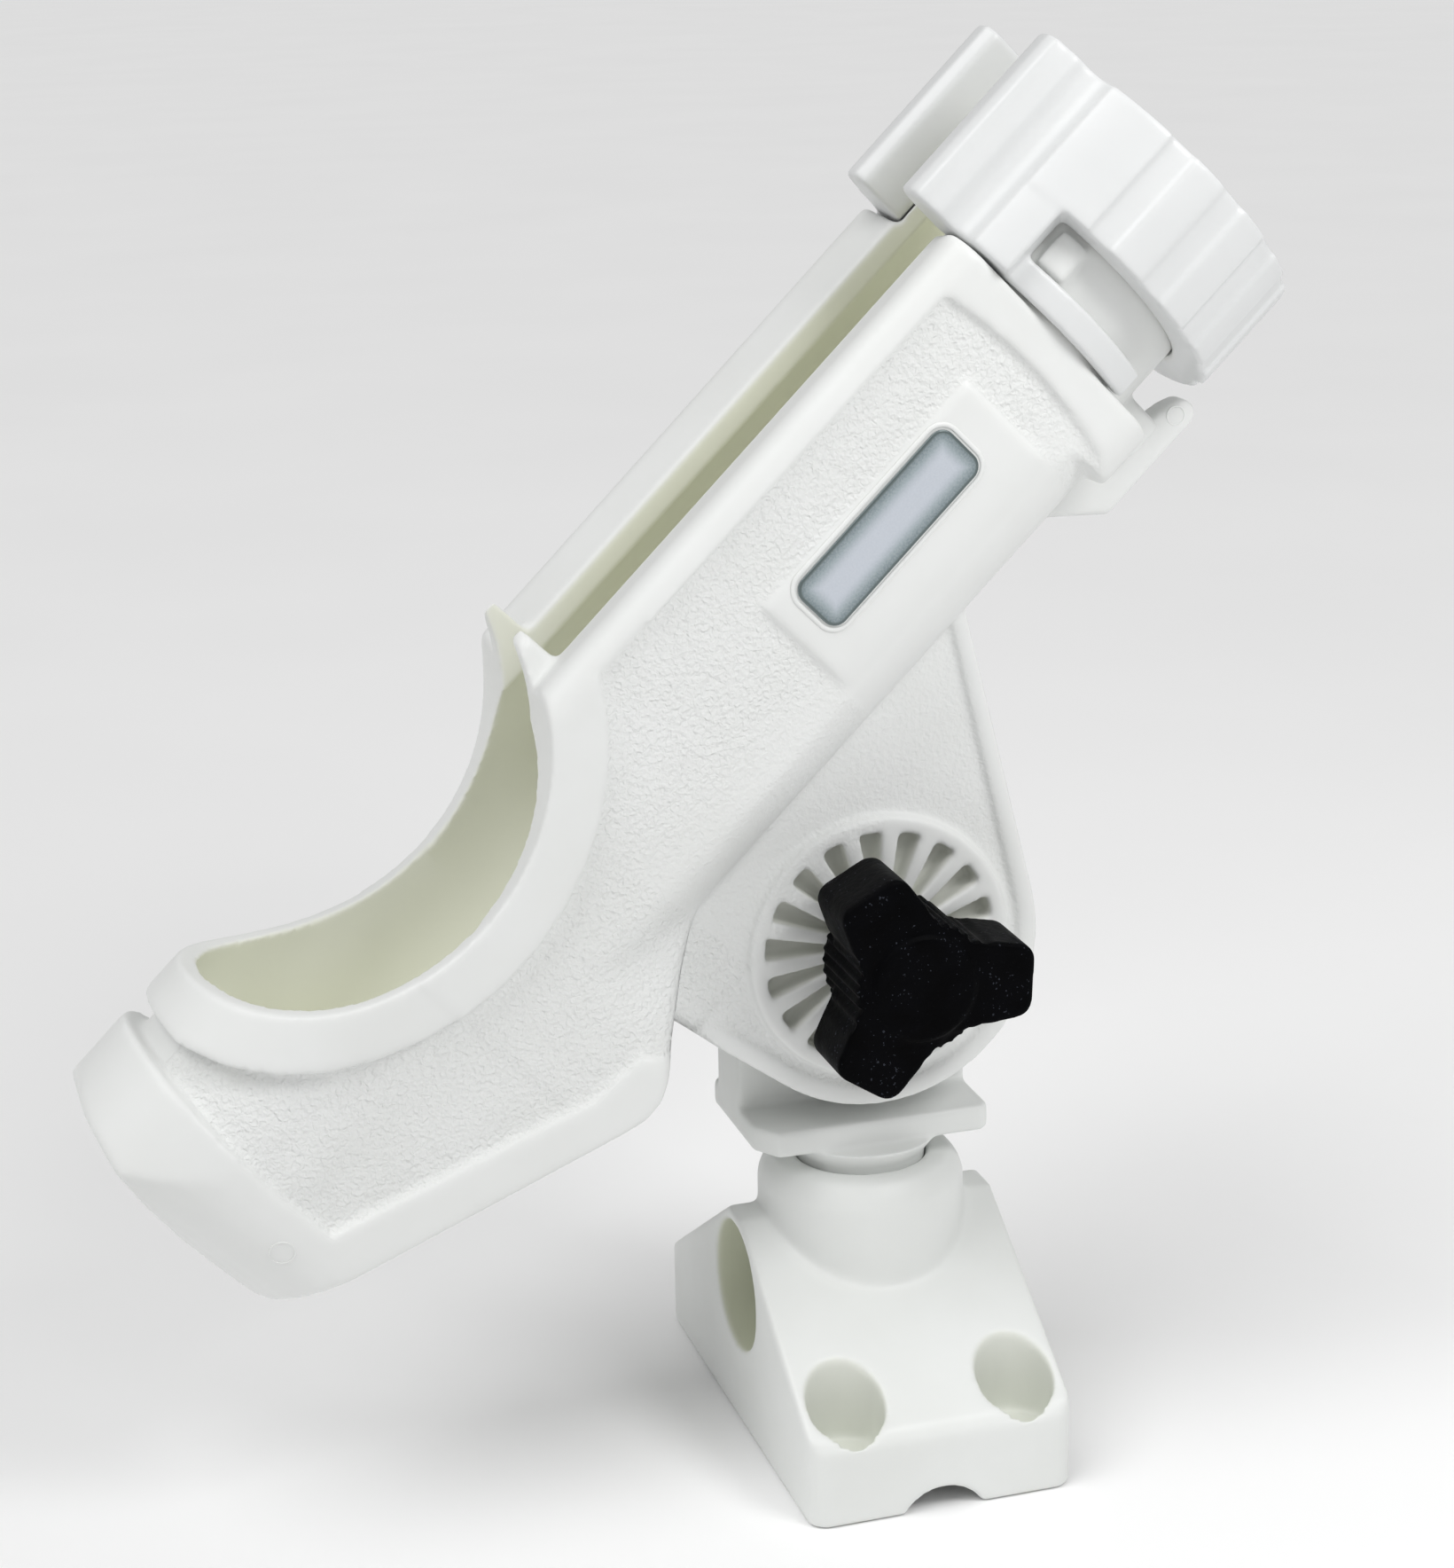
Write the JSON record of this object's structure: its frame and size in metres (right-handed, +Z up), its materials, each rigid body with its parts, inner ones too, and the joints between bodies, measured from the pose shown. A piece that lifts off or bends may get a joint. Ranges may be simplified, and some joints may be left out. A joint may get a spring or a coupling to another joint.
{
  "type": "fishing rod holder",
  "caption": "Open-cradle fishing rod holder: slotted barrel with locking ring, tilting clutch with three-lobed knob, swivel post and wedge-shaped deck mount.",
  "frame": {"origin": "centre of the mount's base, on the deck", "axes": "+Z up along the post, +X towards the rod's tip, -Y towards the clamp knob"},
  "size_m": [0.2448, 0.1, 0.2841],
  "materials": {
    "mount_plastic": "satin",
    "cradle_plastic": "satin",
    "ring_plastic": "semi-gloss",
    "knob_plastic": "fine rough texture",
    "badge": "silver-blue film",
    "stainless": "brushed"
  },
  "bodies": {
    "mount": {"mount_base": "mount_plastic"},
    "post": {"post": "mount_plastic", "pivot_bolt": "stainless", "pivot_washer": "stainless"},
    "cradle": {"cradle_body": "cradle_plastic", "near_badge": "badge", "far_badge": "badge"},
    "ring": {"locking_ring": "ring_plastic"},
    "knob": {"clamp_knob": "knob_plastic", "knob_nut": "stainless"}
  },
  "joints": [
    {"name": "post_swivel", "type": "hinge", "parent": "mount", "child": "post", "pos_m": [0, 0, 0.06], "axis": [0, 0, 1], "continuous": true},
    {"name": "cradle_tilt", "type": "hinge", "parent": "post", "child": "cradle", "pos_m": [0, 0, 0.1065], "axis": [0, -1, 0], "range_deg": [-75, 20]},
    {"name": "ring_turn", "type": "hinge", "parent": "cradle", "child": "ring", "pos_m": [-0.04556, 0, 0.15286], "axis": [-0.7133, 0, -0.7009], "range_deg": [0, 85]},
    {"name": "knob_spin", "type": "hinge", "parent": "cradle", "child": "knob", "pos_m": [0, 0, 0.1065], "axis": [0, -1, 0], "continuous": true}
  ]
}
